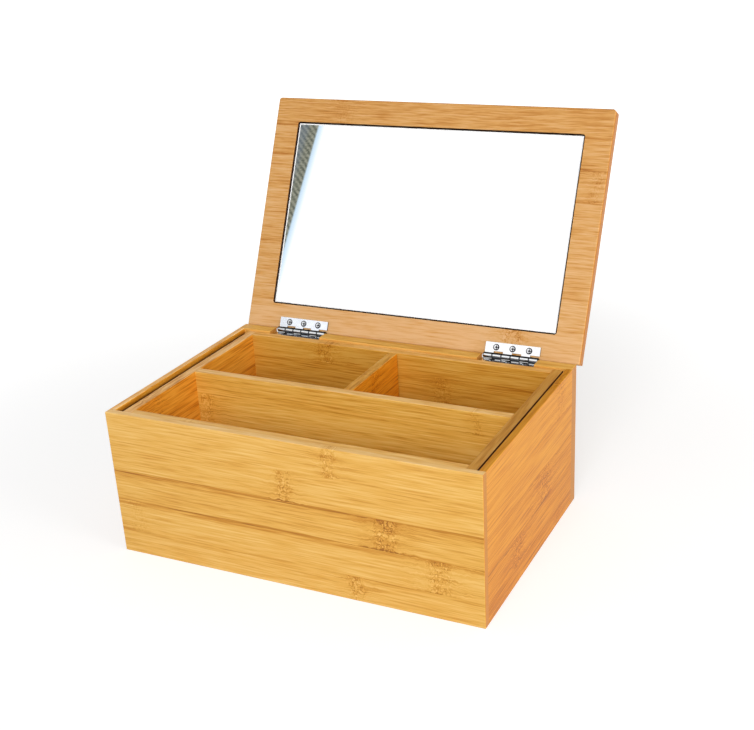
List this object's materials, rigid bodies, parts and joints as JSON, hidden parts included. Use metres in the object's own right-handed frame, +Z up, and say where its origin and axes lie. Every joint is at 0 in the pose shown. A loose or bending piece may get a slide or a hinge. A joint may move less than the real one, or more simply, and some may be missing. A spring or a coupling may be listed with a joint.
{
  "type": "storage box with mirror lid",
  "caption": "Bamboo vanity box with a hinged lid that holds a mirror, and a lift-out tray with three compartments.",
  "frame": {"origin": "centre of the flat underside that the box stands on", "axes": "+Z up, +X to the right and +Y to the back, seen from the front; the lid's hinges are at +Y"},
  "size_m": [0.262, 0.2584, 0.2567],
  "materials": {
    "bamboo": "satin",
    "tray_bamboo": "satin",
    "mirror": "polished",
    "tape": "matte",
    "hinge_metal": "polished",
    "screw_metal": "polished"
  },
  "bodies": {
    "box": {"front_panel": "bamboo", "back_panel": "bamboo", "left_panel": "bamboo", "right_panel": "bamboo", "bottom_panel": "bamboo", "left_box_leaf": "hinge_metal", "right_box_leaf": "hinge_metal", "left_hinge_pin": "hinge_metal", "right_hinge_pin": "hinge_metal", "box_screws": "screw_metal"},
    "tray": {"tray_front": "tray_bamboo", "tray_back": "tray_bamboo", "tray_left": "tray_bamboo", "tray_right": "tray_bamboo", "tray_floor": "tray_bamboo", "long_divider": "tray_bamboo", "short_divider": "tray_bamboo"},
    "lid": {"lid_panel": "bamboo", "mirror_glass": "mirror", "mirror_tape": "tape", "left_lid_leaf": "hinge_metal", "right_lid_leaf": "hinge_metal", "lid_screws": "screw_metal"}
  },
  "joints": [
    {"name": "lid_hinge", "type": "hinge", "parent": "box", "child": "lid", "pos_m": [0, 0.08805, 0.1003], "axis": [1, 0, 0], "range_deg": [0, 115.6]},
    {"name": "tray_slide", "type": "slide", "parent": "box", "child": "tray", "axis": [1, 0, 0], "range_m": [-0.0042, 0.0017]}
  ]
}
